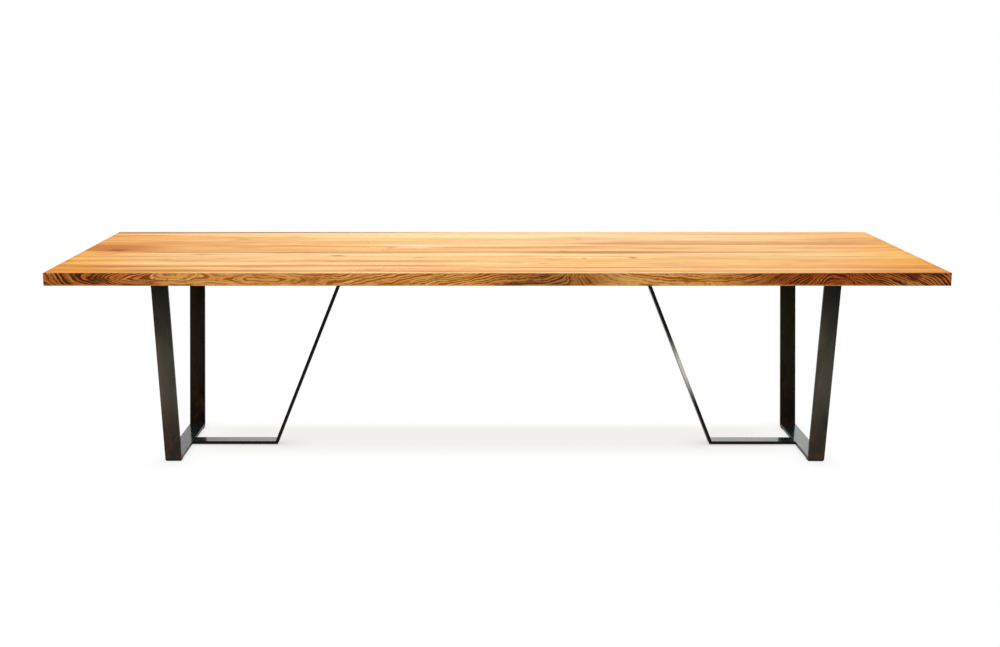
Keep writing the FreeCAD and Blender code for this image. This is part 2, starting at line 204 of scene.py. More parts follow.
# each board: tint, seed, pith (aside from its middle, over its underside), streaks and knots
# a streak: start, stop, depth, half width, strength
# a knot: along, depth, half length, half width, strength
# start, stop and along are shares of the length from the left, depths and the streaks' half widths
# are shares of the depth from the front, and the knots' half sizes are metres
boardLooks = {
    "front_board": {
        "tint": (1.0, 0.92, 0.73), "seed": 3.1, "pith": (0.03, -0.09),
        "streaks": [(0.06, 0.60, 0.038, 0.020, 0.75), (0.20, 0.48, 0.155, 0.024, 0.72),
                    (0.0, 0.10, 0.13, 0.05, 0.75), (0.42, 1.0, 0.115, 0.024, 0.45),
                    (0.60, 0.95, 0.040, 0.014, 0.45), (0.05, 0.45, 0.16, 0.045, 0.3)],
        "knots": [(0.375, 0.105, 0.008, 0.006, 0.5), (0.515, 0.125, 0.012, 0.006, 0.4)],
    },
    "front_middle_board": {
        "tint": (1.0, 1.03, 1.02), "seed": 11.7, "pith": (-0.05, -0.14),
        "streaks": [(0.0, 0.30, 0.385, 0.010, 0.45), (0.0, 0.34, 0.335, 0.010, 0.4),
                    (0.0, 0.22, 0.285, 0.012, 0.5), (0.06, 0.90, 0.447, 0.028, 0.85),
                    (0.55, 0.71, 0.450, 0.046, 1.3), (0.57, 0.70, 0.432, 0.024, 0.8),
                    (0.70, 0.90, 0.30, 0.02, 0.30)],
        "knots": [(0.314, 0.370, 0.034, 0.018, 0.8), (0.412, 0.325, 0.030, 0.014, 0.55),
                  (0.662, 0.322, 0.020, 0.020, 0.9), (0.605, 0.305, 0.014, 0.014, 0.6),
                  (0.575, 0.360, 0.020, 0.012, 0.45), (0.310, 0.235, 0.020, 0.012, 0.45),
                  (0.525, 0.205, 0.022, 0.010, 0.5), (0.555, 0.195, 0.018, 0.010, 0.5),
                  (0.80, 0.275, 0.030, 0.008, 0.4)],
    },
    "rear_middle_board": {
        "tint": (0.985, 0.96, 0.92), "seed": 23.9, "pith": (0.02, -0.05),
        "streaks": [(0.26, 0.88, 0.474, 0.016, 0.7), (0.0, 0.08, 0.58, 0.09, 1.2),
                    (0.0, 0.07, 0.49, 0.05, 1.3), (0.60, 1.0, 0.668, 0.060, 0.72),
                    (0.05, 0.32, 0.50, 0.020, 0.55), (0.13, 0.30, 0.60, 0.03, 0.35)],
        "knots": [(0.040, 0.505, 0.042, 0.034, 0.85), (0.372, 0.560, 0.020, 0.018, 0.6),
                  (0.585, 0.480, 0.024, 0.020, 0.6)],
    },
    "rear_board": {
        "tint": (1.0, 0.97, 0.90), "seed": 37.3, "pith": (-0.07, -0.11),
        "streaks": [(0.08, 0.40, 0.722, 0.022, 0.5), (0.62, 1.0, 0.715, 0.026, 0.6),
                    (0.0, 0.42, 0.985, 0.030, 0.8), (0.57, 0.70, 0.80, 0.036, 0.6)],
        "knots": [(0.61, 0.795, 0.020, 0.020, 0.45)],
    },
}

# noises of the boards: scale, axes that the seed moves, detail, roughness
boardNoises = {
    "wander": ((1.5, 3.0, 3.0), (1, 1, 0), 3.0, 0.5),
    "crumb": ((60.0, 90.0, 90.0), (1, 0, 0), 3.0, 0.6),
    "broad": ((0.40, 8.0, 8.0), (1, 0, 1), 3.0, 0.55),
    "stain": ((1.1, 17.0, 17.0), (0, 1, 1), 4.0, 0.6),
    "narrow": ((1.1, 42.0, 42.0), (1, 0, 1), 3.0, 0.6),
    "mark": ((4.5, 30.0, 30.0), (1, 1, 0), 4.0, 0.65),
    "thread": ((1.6, 90.0, 90.0), (0, 1, 0), 3.0, 0.6),
    "hair": ((9.0, 600.0, 600.0), (1, 0, 1), 3.0, 0.65),
}

# tones laid over the pale and honey bands: noise, where they start and are full, strength, tone
grainLayers = [("stain", 0.51, 0.72, 0.75, "brown"), ("narrow", 0.52, 0.67, 0.75, "brown"),
               ("mark", 0.54, 0.72, 0.7, "brown"), ("mark", 0.44, 0.28, 0.6, "pale"),
               ("thread", 0.52, 0.70, 0.6, "orange")]

# soft spots, measured as knots are: along, depth, half length, half width, strength, tone; the sheen spots
# are painted highlights, the burr spots are the wood's own
topSpots = [(0.405, 0.61, 0.12, 0.055, 0.65, "paintedSheen"), (0.53, 0.92, 0.95, 0.34, 0.36, "paintedSheen"),
            (0.025, 0.57, 0.26, 0.12, 0.7, "burr"), (0.045, 0.50, 0.13, 0.05, 0.6, "burr")]

# a streak's solid core and soft ends, how it wanders with the grain, the rings and threads that show
# in it, and its greatest strength
streakLook = {"core": 0.3, "outside": 0.05, "inside": 0.07, "wander": 0.4, "rings": 0.5, "threads": 0.3,
              "most": 0.95}

# a knot's crumbling rim, hard heart and soft halo, and how it pushes the rings aside
knotLook = {"crumb": 0.35, "heart": (0.45, 0.80), "halo": (0.15, 1.5), "haloShare": 0.8,
            "push": 0.9, "pushReach": 3.0}

# the dark strip at the rear left: its depth, how ragged it is, where it fades along the top, strength
rearStrip = {"depth": (0.945, 0.99), "ragged": 0.014, "fade": (0.25, 0.55), "strength": 0.75}

# painted highlight: the front's upper arris is painted pale where it catches the light: depth, height under
# the top's face, strength, least at its ends
arrisHighlight = {"tone": (1.0, 0.78, 0.46), "depth": (0.003, 0.010), "under": (0.0028, 0.0012),
             "strength": (0.35, 0.8), "fade": (0.7, 1.3), "atEnds": 0.15}


def fromLeft(share):
    return (share - 0.5) * topLength


# 0 at the middle of an ellipse on the top, 1 on its rim
def ellipse(tree, x, y, at, depth, halfLong, halfWide):
    dx = offBy(tree, x, fromLeft(at), halfLong)
    dy = offBy(tree, y, topFront + depth * topDepth, halfWide)
    return calc(tree, "SQRT", squares(tree, dx, dy))


def boardNoise(tree, place, kind, seed):
    scale, moved, detail, rough = boardNoises[kind]
    return noise(tree, place, scale, detail, rough, tuple(seed * axis for axis in moved))


def boardGrain(tree, name, look, place, x, y, z):
    # the grain wanders a little along the board
    drift = swing(tree, boardNoise(tree, place, "wander", look["seed"]), topLook["wander"])
    across = calc(tree, "ADD", y, drift)

    # knots push the rings aside and darken at the heart
    crumb = swing(tree, boardNoise(tree, place, "crumb", look["seed"]), knotLook["crumb"], 0.25, 0.75)
    heart = 0.0
    for at, depth, halfLong, halfWide, strength in look["knots"]:
        far = ellipse(tree, x, y, at, depth, halfLong, halfWide)
        rim = calc(tree, "ADD", far, crumb)
        core = calc(tree, "MAXIMUM", ranged(tree, rim, *knotLook["heart"], 1.0, 0.0),
                    ranged(tree, rim, *knotLook["halo"], knotLook["haloShare"], 0.0))
        heart = calc(tree, "MAXIMUM", heart, times(tree, core, strength))
        push = ranged(tree, far, 0.0, knotLook["pushReach"], halfWide * knotLook["push"], 0.0)
        across = calc(tree, "ADD", across, push)

    place = joined(tree, x, across, z)
    grain = {kind: boardNoise(tree, place, kind, look["seed"])
             for kind in ("broad", "stain", "narrow", "mark", "thread", "hair")}

    # rings round the pith
    low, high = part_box(name)
    aside, over = look["pith"]
    dy = calc(tree, "SUBTRACT", across, (low.y + high.y) / 2 + aside)
    dz = calc(tree, "SUBTRACT", z, topUnder + over)
    ring = calc(tree, "DIVIDE", calc(tree, "SQRT", squares(tree, dy, dz)), topLook["ringWidth"])
    ring = calc(tree, "FRACT", calc(tree, "ADD", ring, times(tree, grain["broad"], topLook["ringWaver"])))
    late = times(tree, ranged(tree, ring, 0.35, 0.92), ranged(tree, ring, 0.92, 1.0, 1.0, 0.0))
    grain.update(drift=drift, heart=heart, late=late, pores=ranged(tree, grain["hair"], 0.56, 0.74))
    return grain


def topColour(tree, name, look, grain, x, y, along):
    narrow, late = grain["narrow"], grain["late"]
    share = linear(tree, y, topFront, topRear, 0.0, 1.0)
    colour = mixColour(tree, ranged(tree, grain["broad"], 0.36, 0.60), topLook["honey"], topLook["pale"])
    for kind, start, full, strength, tone in grainLayers:
        colour = mixColour(tree, ranged(tree, grain[kind], start, full, 0.0, strength), colour, topLook[tone])
    colour = mixColour(tree, times(tree, late, topLook["ringStrength"]), colour, topLook["brown"])

    # streaks, then soft spots with the painted sheen, the rear strip, knots and pores
    streakTone = mixColour(tree, times(tree, late, streakLook["rings"]), topLook["streak"], topLook["knot"])
    threads = ranged(tree, grain["thread"], 0.40, 0.65, 0.0, streakLook["threads"])
    streakTone = mixColour(tree, threads, streakTone, topLook["orange"])
    wandered = calc(tree, "ADD", share, times(tree, grain["drift"], streakLook["wander"]))
    broken = ranged(tree, narrow, 0.25, 0.6, 0.5, 1.0)
    for start, stop, depth, half, strength in look["streaks"]:
        off = calc(tree, "ABSOLUTE", calc(tree, "SUBTRACT", wandered, depth))
        reach = stretch(tree, along, start, stop, streakLook["outside"], streakLook["inside"])
        band = ranged(tree, off, half * streakLook["core"], half, 1.0, 0.0)
        band = times(tree, band, reach, broken, strength)
        colour = mixColour(tree, calc(tree, "MINIMUM", band, streakLook["most"]), colour, streakTone)
    broken = ranged(tree, narrow, 0.3, 0.6, 0.45, 1.0)
    for at, depth, halfLong, halfWide, strength, tone in topSpots:
        far = ellipse(tree, x, y, at, depth, halfLong, halfWide)
        spot = times(tree, ranged(tree, far, 0.0, 1.3, strength, 0.0), broken)
        colour = mixColour(tree, spot, colour, topLook[tone])
    if name == "rear_board":
        ragged = calc(tree, "ADD", share, swing(tree, narrow, rearStrip["ragged"], 0.3, 0.7))
        strip = times(tree, ranged(tree, ragged, *rearStrip["depth"]),
                      ranged(tree, along, *rearStrip["fade"], rearStrip["strength"], 0.0))
        colour = mixColour(tree, strip, colour, topLook["knot"])
    colour = mixColour(tree, grain["heart"], colour, topLook["knot"])
    colour = mixColour(tree, times(tree, grain["pores"], topLook["poreStrength"]), colour, topLook["brown"])
    colour = mixColour(tree, 1.0, colour, look["tint"], "MULTIPLY")

    # warmer towards both ends, less so at the rear, and darker on the end grain
    depths, atRear = topLook["endFade"]
    fade = ranged(tree, share, *depths, 1.0, atRear)
    for key, end in (("leftEnd", 0.0), ("rightEnd", 1.0), ("rim", 0.0), ("rim", 1.0)):
        tint, reach = topLook[key]
        far = calc(tree, "ABSOLUTE", calc(tree, "SUBTRACT", x, fromLeft(end)))
        nearEnd = times(tree, ranged(tree, far, 0.0, reach, 1.0, 0.0), fade)
        colour = mixColour(tree, nearEnd, colour, tint, "MULTIPLY")
    fromEnd = calc(tree, "SUBTRACT", topLength / 2, calc(tree, "ABSOLUTE", x))
    endFace = ranged(tree, fromEnd, *topLook["skin"], 1.0, 0.0)
    return mixColour(tree, endFace, colour, topLook["endGrain"], "MULTIPLY")


# long edges: tones of the wood between and on the dark lines, and where each tone lies along the edge

edgeTones = {
    "umber": ((0.595, 0.172, 0.0345), (0.084, 0.021, 0.005)),
    "tan": ((0.92, 0.335, 0.076), (0.15, 0.040, 0.009)),
    "honey": ((1.0, 0.570, 0.158), (0.46, 0.122, 0.021)),
    "gold": ((1.0, 0.520, 0.120), (0.40, 0.088, 0.012)),
    "grey": ((0.54, 0.208, 0.051), (0.094, 0.030, 0.008)),
    "russet": ((0.535, 0.130, 0.021), (0.098, 0.0185, 0.0033)),
    "burnt": ((0.74, 0.215, 0.044), (0.020, 0.0045, 0.0012)),
}
edgeHues = {"ash": (0.82, 0.38, 0.140), "copper": (0.92, 0.28, 0.040)}
edgeStops = [(0.0, "umber"), (0.055, "umber"), (0.10, "tan"), (0.135, "honey"), (0.36, "honey"),
             (0.43, "gold"), (0.465, "gold"), (0.50, "tan"), (0.545, "grey"), (0.605, "grey"),
             (0.645, "honey"), (0.735, "gold"), (0.815, "russet"), (0.93, "russet"), (0.965, "burnt"),
             (1.0, "burnt")]

# figure over the edge's length: lines passed, their slant, bow and strength
edgeFigure = {
    "density": 1.3,
    "mostRings": 60.0,  # ends of the scales of rings, slant and bow
    "mostTurn": 4.0,
    "bend": 1.4,
    "waver": {"along": 0.006, "height": 0.3, "lines": 1.1},
    "rings": [(0.0, 0.0), (0.05, 6.0), (0.10, 11.5), (0.14, 12.6), (0.19, 11.4), (0.245, 14.0),
              (0.305, 11.6), (0.35, 12.8), (0.45, 18.5), (0.50, 21.5), (0.565, 23.2), (0.61, 30.0),
              (0.73, 33.5), (0.83, 24.5), (0.855, 20.8), (0.875, 18.6), (0.895, 20.8), (0.955, 28.0),
              (1.0, 34.5)],
    "slant": [(0.0, 0.6), (0.03, 0.8), (0.075, 0.9), (0.11, 1.2), (0.14, 1.6), (0.17, 1.4), (0.20, 0.3),
              (0.30, -0.3), (0.32, -1.7), (0.36, -1.9), (0.55, -2.1), (0.577, -1.2), (0.617, 1.4),
              (0.70, 2.0), (0.76, 2.8), (0.84, 1.7), (0.95, 2.1), (1.0, 0.8)],
    "bow": [(0.0, -0.3), (0.03, -0.5), (0.07, -2.2), (0.105, -2.5), (0.14, -0.9), (0.19, -1.3),
            (0.245, -2.4), (0.31, -1.2), (0.37, 0.0), (1.0, 0.0)],
    "strength": [(0.0, 1.0), (0.115, 1.0), (0.14, 0.7), (0.25, 0.7), (0.34, 0.9), (0.42, 1.0),
                 (0.56, 0.9), (0.595, 0.68), (0.625, 0.70), (0.66, 0.8), (0.73, 0.9), (0.79, 1.0),
                 (1.0, 1.0)],
}

# noises of the edges: scale, detail, roughness, offset; streak and fibre run with the lines
edgeNoises = {
    "wave": ((9.0, 9.0, 30.0), 3.0),
    "ripple": ((22.0, 22.0, 22.0), 2.0, 0.45),
    "stray": ((8.0, 8.0, 26.0), 2.0, 0.4, (2.0, 0.0, 5.0)),
    "patch": ((7.0, 7.0, 30.0), 3.0, 0.5, (6.0, 0.0, 3.0)),
    "speck": ((70.0, 70.0, 150.0), 2.0),
    "streak": ((0.9, 6.0, 0.0), 3.0, 0.55, (3.0, 8.0, 0.0)),
    "fibre": ((7.0, 30.0, 0.0), 3.0, 0.6),
}

# marks: pin knots at along and height, burnt blots with half length, half height and strength,
# and stretches of bark on the lower arris; heights run from -1 to 1
edgeMarks = {
    "dots": [(0.115, 0.55), (0.123, 0.1), (0.131, -0.2), (0.137, 0.0), (0.146, 0.65), (0.156, 0.2),
             (0.437, 0.75), (0.443, 0.7), (0.516, 0.2), (0.687, 0.8), (0.709, 0.75), (0.729, -0.6),
             (0.734, -0.7)],
    "dotHalf": (0.0055, 0.24),
    "dotStrength": 0.55,
    "blots": [(0.961, 0.5, 0.030, 0.9, 0.68), (0.985, 0.6, 0.022, 0.5, 0.55)],
    "bark": [(0.140, 0.164), (0.657, 0.676), (0.085, 0.119)],
    "barkFade": 0.004,
    "barkStrength": 0.8,
}


def boardEdge(tree, place, x, z, along):
    wave, ripple, stray, patch, speck = (noise(tree, place, *edgeNoises[kind])
                                         for kind in ("wave", "ripple", "stray", "patch", "speck"))
    turn, waver = edgeFigure["mostTurn"], edgeFigure["waver"]
    u = calc(tree, "ADD", along, swing(tree, wave, waver["along"]))
    level = linear(tree, z, topUnder, topFace, -1.0, 1.0)
    height = calc(tree, "ADD", level, swing(tree, ripple, waver["height"]))
    slant = times(tree, height, drawn(tree, u, edgeFigure["slant"], -turn, turn))
    bend = calc(tree, "POWER", calc(tree, "ABSOLUTE", height), edgeFigure["bend"])
    bow = times(tree, bend, drawn(tree, u, edgeFigure["bow"], -turn, turn))
    figure = drawn(tree, u, edgeFigure["rings"], 0.0, edgeFigure["mostRings"])
    for part in (calc(tree, "ADD", slant, bow), swing(tree, stray, waver["lines"])):
        figure = calc(tree, "ADD", figure, part)
    figure = times(tree, figure, edgeFigure["density"])

    # ring lines, each with a darkness and width of its own, and looser streaks that run with them
    ring = calc(tree, "FRACT", figure)
    own = chance(tree, figure)
    line = times(tree, ranged(tree, ring, 0.10, linear(tree, own, 0.0, 1.0, 0.72, 0.50)),
                 ranged(tree, ring, 0.82, 1.0, 1.0, 0.0), linear(tree, own, 0.0, 1.0, 0.5, 1.0))
    flow = joined(tree, figure, x)
    streak = noise(tree, flow, *edgeNoises["streak"])
    fibre = noise(tree, flow, *edgeNoises["fibre"])
    line = times(tree, line, ranged(tree, streak, 0.30, 0.52, 0.45, 1.0))
    line = calc(tree, "MAXIMUM", line, ranged(tree, streak, 0.50, 0.70, 0.0, 0.9))
    line = times(tree, line, drawn(tree, u, edgeFigure["strength"], 0.0, 1.0))
    line = calc(tree, "MAXIMUM", line, ranged(tree, fibre, 0.48, 0.72, 0.0, 0.6))
    line = calc(tree, "MAXIMUM", line, ranged(tree, patch, 0.48, 0.68, 0.0, 0.55))
    line = calc(tree, "ADD", line, swing(tree, speck, 0.15, 0.25, 0.75))
    line = ranged(tree, line, 0.16, 0.76)

    # the light wood between two lines leans to ash or to copper
    light = ramp(tree, u, [(at, edgeTones[tone][0]) for at, tone in edgeStops])
    dark = ramp(tree, u, [(at, edgeTones[tone][1]) for at, tone in edgeStops])
    gold = edgeTones["gold"][0]
    between = times(tree, chance(tree, calc(tree, "ADD", figure, 0.5)), 0.6)
    between = calc(tree, "ADD", between, times(tree, streak, 0.4))
    for hue, start, full in (("ash", 0.36, 0.20), ("copper", 0.52, 0.72)):
        lean = ranged(tree, between, start, full, 0.0, 0.4)
        light = mixColour(tree, lean, light, edgeHues[hue], "MULTIPLY")
    light = mixColour(tree, ranged(tree, patch, 0.30, 0.44, 0.40, 0.0), light, gold)
    colour = mixColour(tree, line, light, dark)
    below = times(tree, ranged(tree, level, -0.95, -0.70, 0.6, 0.0), ranged(tree, stray, 0.36, 0.52))
    colour = mixColour(tree, below, colour, gold)
    ragged = times(tree, ranged(tree, level, 0.62, 0.86), ranged(tree, fibre, 0.35, 0.62, 0.0, 0.55))
    colour = mixColour(tree, ragged, colour, dark)

    # burnt blots, pin knots and bark on the lower arris
    smear = swing(tree, stray, 0.9, 0.25, 0.75)
    for at, over, halfLong, halfHigh, strength in edgeMarks["blots"]:
        dx = calc(tree, "ADD", offBy(tree, x, fromLeft(at), halfLong), smear)
        far = squares(tree, dx, offBy(tree, height, over, halfHigh))
        colour = mixColour(tree, ranged(tree, far, 0.15, 1.3, strength, 0.0), colour, edgeTones["burnt"][1])
    halfLong, halfHigh = edgeMarks["dotHalf"]
    for at, over in edgeMarks["dots"]:
        far = squares(tree, offBy(tree, x, fromLeft(at), halfLong), offBy(tree, height, over, halfHigh))
        dot = ranged(tree, far, 0.1, 1.0, edgeMarks["dotStrength"], 0.0)
        colour = mixColour(tree, dot, colour, topLook["knot"])
    low = ranged(tree, height, -0.9, -0.6, edgeMarks["barkStrength"], 0.0)
    for start, stop in edgeMarks["bark"]:
        bark = stretch(tree, along, start, stop, edgeMarks["barkFade"], edgeMarks["barkFade"])
        colour = mixColour(tree, times(tree, bark, low), colour, topLook["dark"])
    return colour, line


def boardWood(name, look):
    material, tree = newTree("wood_" + name)
    place = objectPlace(tree)
    x, y, z = parted(tree, place)
    along = linear(tree, x, -topLength / 2, topLength / 2, 0.0, 1.0)
    grain = boardGrain(tree, name, look, place, x, y, z)
    narrow, pores = grain["narrow"], grain["pores"]
    colour = topColour(tree, name, look, grain, x, y, along)
    relief = topLook["relief"]
    bumps = calc(tree, "ADD", times(tree, pores, relief["pores"]),
                 times(tree, grain["late"], relief["rings"]))

    # the rear edge has the front edge's figure, seen from outside
    edge = None
    if name == "front_board":
        edge = calc(tree, "SUBTRACT", y, topFront), x, along
    if name == "rear_board":
        edge = calc(tree, "SUBTRACT", topRear, y), times(tree, x, -1.0), calc(tree, "SUBTRACT", 1.0, along)
    if edge:
        depthIn, edgeX, edgeAlong = edge
        face = ranged(tree, depthIn, *topLook["skin"], 1.0, 0.0)
        edgeColour, edgeLine = boardEdge(tree, place, edgeX, z, edgeAlong)
        fine = linear(tree, grain["hair"], 0.30, 0.70, 1.14, 0.84)
        edgeColour = mixColour(tree, 1.0, edgeColour, joined(tree, fine, fine, fine), "MULTIPLY")
        colour = mixColour(tree, face, colour, edgeColour)
        bumps = calc(tree, "ADD", bumps, times(tree, edgeLine, face, relief["edgeLines"]))
    # painted highlight on the front's upper arris
    if name == "front_board":
        lower, upper = arrisHighlight["under"]
        arris = times(tree, ranged(tree, depthIn, *arrisHighlight["depth"], 1.0, 0.0),
                      ranged(tree, z, topFace - lower, topFace - upper),
                      ranged(tree, narrow, 0.3, 0.6, *arrisHighlight["strength"]),
                      ranged(tree, calc(tree, "ABSOLUTE", x), *arrisHighlight["fade"], 1.0, arrisHighlight["atEnds"]))
        colour = mixColour(tree, arris, colour, arrisHighlight["tone"])
    rough = linear(tree, calc(tree, "ADD", narrow, pores), 0.3, 1.5, *topLook["roughness"])
    finishMaterial(tree, colour, rough, bumps, topLook["bump"], {"Specular IOR Level": topLook["specular"]})
    return material


for name, look in boardLooks.items():
    dress(boardWood(name, look), name)
print("top dressed")


# loose tongues: raw strips inside the glue lines

tongueLook = {
    "pale": (0.62, 0.44, 0.26),
    "dark": (0.45, 0.29, 0.15),
    "fibre": ((3.0, 220.0, 220.0), 4.0, 0.6),
    "roughness": (0.6, 0.8),
    "bump": 0.0002,
}


def tongueWood():
    material, tree = newTree("wood_tongue")
    fibre = noise(tree, objectPlace(tree), *tongueLook["fibre"])
    colour = mixColour(tree, ranged(tree, fibre, 0.3, 0.7), tongueLook["dark"], tongueLook["pale"])
    rough = linear(tree, fibre, 0.0, 1.0, *tongueLook["roughness"])
    finishMaterial(tree, colour, rough, fibre, tongueLook["bump"])
    return material


dress(tongueWood(), "front_joint_tongue", "middle_joint_tongue", "rear_joint_tongue")
print("tongues dressed")


# frames: blackened flat bar under clear lacquer

steelLook = {
    "black": (0.007, 0.006, 0.005),
    # grey and slate: each bar is painted lighter towards its left side, as if lit from the left
    "grey": (0.119, 0.099, 0.059),
    "slate": (0.079, 0.073, 0.050),
    "brown": (0.110, 0.073, 0.041),
    "rust": ((0.100, 0.040, 0.018), (0.04, 0.26)),  # colour, heights over which it fades
    "level": (0.015, 0.045, 0.042),  # faces turned up
    "edge": (0.15, 0.14, 0.12),
    "glintPatch": ((0.82, 0.79, 0.66), 0.30, (0.015, 0.15), 0.85),  # a painted glint of bare metal on the right strut: colour, height, reach, strength
    # painted light and shade: light kept over the height of the legs, from the floor to the top
    "heightShade": [(0.0, 0.28), (0.10, 0.34), (0.20, 0.50), (0.32, 0.88), (0.42, 1.0), (0.60, 0.87), (0.81, 0.37),
             (0.91, 0.12), (1.0, 0.02)],
    "rear": (0.6, (-0.10, 0.15)),  # painted shade on the rear legs, which the top shades: light kept, depths of the change
    "footLine": (0.0065, 0.0095),  # heights over which the dark line above the pads fades
    "narrow": 0.12,  # what the bar's narrow sides keep of gloss and wear
    "flat": (0.8, 0.95),  # how squarely a face has to look along an axis
    "arris": 0.0016,
    "wear": 0.35,
    "roughness": (0.28, 0.46),
    "metal": 0.05,
    "specular": 0.1,
    "coat": (0.06, 1.0),  # upright faces, faces turned up
    "coatUnderTop": (0.55, 0.2),  # height where it starts to thin, share left under the top
    "coatRoughness": 0.08,
    "coatIor": 1.8,
    "bump": 0.0004,
}

# noises of the steel: scale, detail, roughness, offset, warp
steelNoises = {
    "cloud": ((14.0, 9.0, 5.0), 3.0, 0.5, (0.0, 0.0, 0.0), 0.3),
    "blotch": ((30.0, 19.0, 13.0), 5.0, 0.6, (4.0, 1.0, 7.0), 0.4),
    "grit": (700.0, 2.0, 0.6),
}
legLow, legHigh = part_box("right_front_leg")
barMiddle = (legLow.x + legHigh.x) / 2
barHalf = (legHigh.x - legLow.x) / 2


# narrowSide is the axis that the bar's narrow sides face
def blackSteel(name, narrowSide):
    material, tree = newTree(name)
    place = objectPlace(tree)
    x, y, z = parted(tree, place)
    cloud, blotch, grit = (noise(tree, place, *steelNoises[kind]) for kind in ("cloud", "blotch", "grit"))
    # painted light: each bar lighter and warmer towards its left side, broken up by the cloudy patina
    side = offBy(tree, x, times(tree, calc(tree, "SIGN", x), barMiddle), barHalf)
    side = calc(tree, "ADD", side, swing(tree, cloud, 0.6, 0.2, 0.8))
    colour = mixColour(tree, ranged(tree, side, -0.9, 0.3), steelLook["grey"], steelLook["slate"])
    colour = mixColour(tree, ranged(tree, cloud, 0.30, 0.55, 0.55, 0.0), colour, steelLook["black"])
    colour = mixColour(tree, ranged(tree, blotch, 0.52, 0.70, 0.0, 0.7), colour, steelLook["brown"])

    shape = addNode(tree, "NewGeometry")
    facing = parted(tree, shape.outputs["True Normal"])
    narrow = ranged(tree, calc(tree, "ABSOLUTE", facing[narrowSide]), *steelLook["flat"])
    upward = ranged(tree, facing[2], *steelLook["flat"])
    kept = ranged(tree, narrow, 0.0, 1.0, 1.0, steelLook["narrow"])

    # painted shade: darker under the top and towards the floor, the rear legs darker still; a breath of rust
    # near the feet, dark narrow sides
    heightShade = drawn(tree, calc(tree, "DIVIDE", z, topUnder), steelLook["heightShade"], 0.0, 1.0)
    rearLight, change = steelLook["rear"]
    heightShade = times(tree, heightShade, ranged(tree, y, *change, 1.0, rearLight))
    colour = mixColour(tree, 1.0, colour, joined(tree, heightShade, heightShade, heightShade), "MULTIPLY")
    tone, heights = steelLook["rust"]
    rust = times(tree, ranged(tree, z, *heights, 1.0, 0.0), ranged(tree, upward, 0.0, 1.0, 1.0, 0.0),
                 ranged(tree, blotch, 0.44, 0.62, 0.05, 0.75))
    colour = mixColour(tree, rust, colour, tone)
    colour = mixColour(tree, narrow, colour, steelLook["black"])
    colour = mixColour(tree, upward, colour, steelLook["level"])
    # a black line along the bars just above the pads
    colour = mixColour(tree, ranged(tree, z, *steelLook["footLine"], 1.0, 0.0), colour, steelLook["black"])

    # painted glint: halfway up its front the right strut is made bright bare metal, which mirrors the white
    # floor
    metal = steelLook["metal"]
    if narrowSide == 1:
        tone, height, reach, strength = steelLook["glintPatch"]
        far = calc(tree, "ABSOLUTE", calc(tree, "SUBTRACT", z, height))
        frontward = ranged(tree, times(tree, facing[1], -1.0), *steelLook["flat"])
        glintPatch = times(tree, ranged(tree, far, *reach, strength, 0.0), frontward,
                       calc(tree, "GREATER_THAN", x, 0.0))
        colour = mixColour(tree, glintPatch, colour, tone)
        metal = calc(tree, "MAXIMUM", glintPatch, metal)

    # arrises rubbed brighter
    soft = addNode(tree, "Bevel", {"Radius": steelLook["arris"]}, samples=4)
    normals = {0: soft.outputs[0], 1: shape.outputs["Normal"]}
    turn = addNode(tree, "VectorMath", normals, operation="DOT_PRODUCT").outputs["Value"]
    worn = times(tree, ranged(tree, turn, 0.995, 0.93), ranged(tree, blotch, 0.35, 0.62), kept)
    colour = mixColour(tree, times(tree, worn, steelLook["wear"]), colour, steelLook["edge"])

    rough = calc(tree, "ADD", blotch, times(tree, grit, 0.3))
    rough = linear(tree, rough, 0.4, 1.0, *steelLook["roughness"])
    bumps = calc(tree, "ADD", times(tree, grit, 0.25), cloud)
    thinFrom, thinnest = steelLook["coatUnderTop"]
    coat = times(tree, ranged(tree, upward, 0.0, 1.0, *steelLook["coat"]), kept,
                 ranged(tree, z, thinFrom, topUnder, 1.0, thinnest))
    finishMaterial(tree, colour, rough, bumps, steelLook["bump"], {
        "Metallic": metal, "Specular IOR Level": steelLook["specular"], "Coat Weight": coat,
        "Coat Roughness": steelLook["coatRoughness"], "Coat IOR": steelLook["coatIor"]})
    return material


frameSteel = blackSteel("frame_steel", 0)
braceSteel = blackSteel("brace_steel", 1)
for side in ("left", "right"):
    for bar in ("front_leg", "rear_leg", "floor_bar", "top_rail", "strut_plate"):
        dress(frameSteel, f"{side}_{bar}")
    dress(braceSteel, f"{side}_stretcher", f"{side}_strut")
print("frames dressed")


# fixings and pads

fixingLook = {
    "zinc": ((0.55, 0.55, 0.56), (0.36, 0.36, 0.37)),  # bright, dull
    "brass": ((0.62, 0.44, 0.17), (0.40, 0.26, 0.09)),
    "spots": (260.0, 4.0, 0.6),
    "roughness": (0.42, 0.28),
    "bump": 0.00006,
}
padLook = {
    "black": (0.004, 0.004, 0.004),
    "dust": (0.014, 0.013, 0.012),
    "grain": (900.0, 3.0, 0.6),
    "dusting": (60.0, 4.0, 0.65),
    "roughness": (0.7, 0.9),
    "bump": 0.0001,
}


def fixingMetal(name, bright, dull):
    material, tree = newTree(name)
    spots = noise(tree, objectPlace(tree), *fixingLook["spots"])
    colour = mixColour(tree, ranged(tree, spots, 0.35, 0.65), dull, bright)
    rough = linear(tree, spots, 0.3, 0.7, *fixingLook["roughness"])
    finishMaterial(tree, colour, rough, spots, fixingLook["bump"], {"Metallic": 1.0})
    return material


def padRubber():
    material, tree = newTree("pad_rubber")
    place = objectPlace(tree)
    grain = noise(tree, place, *padLook["grain"])
    dust = noise(tree, place, *padLook["dusting"])
    colour = mixColour(tree, ranged(tree, dust, 0.48, 0.75), padLook["black"], padLook["dust"])
    rough = linear(tree, dust, 0.0, 1.0, *padLook["roughness"])
    finishMaterial(tree, colour, rough, grain, padLook["bump"])
    return material


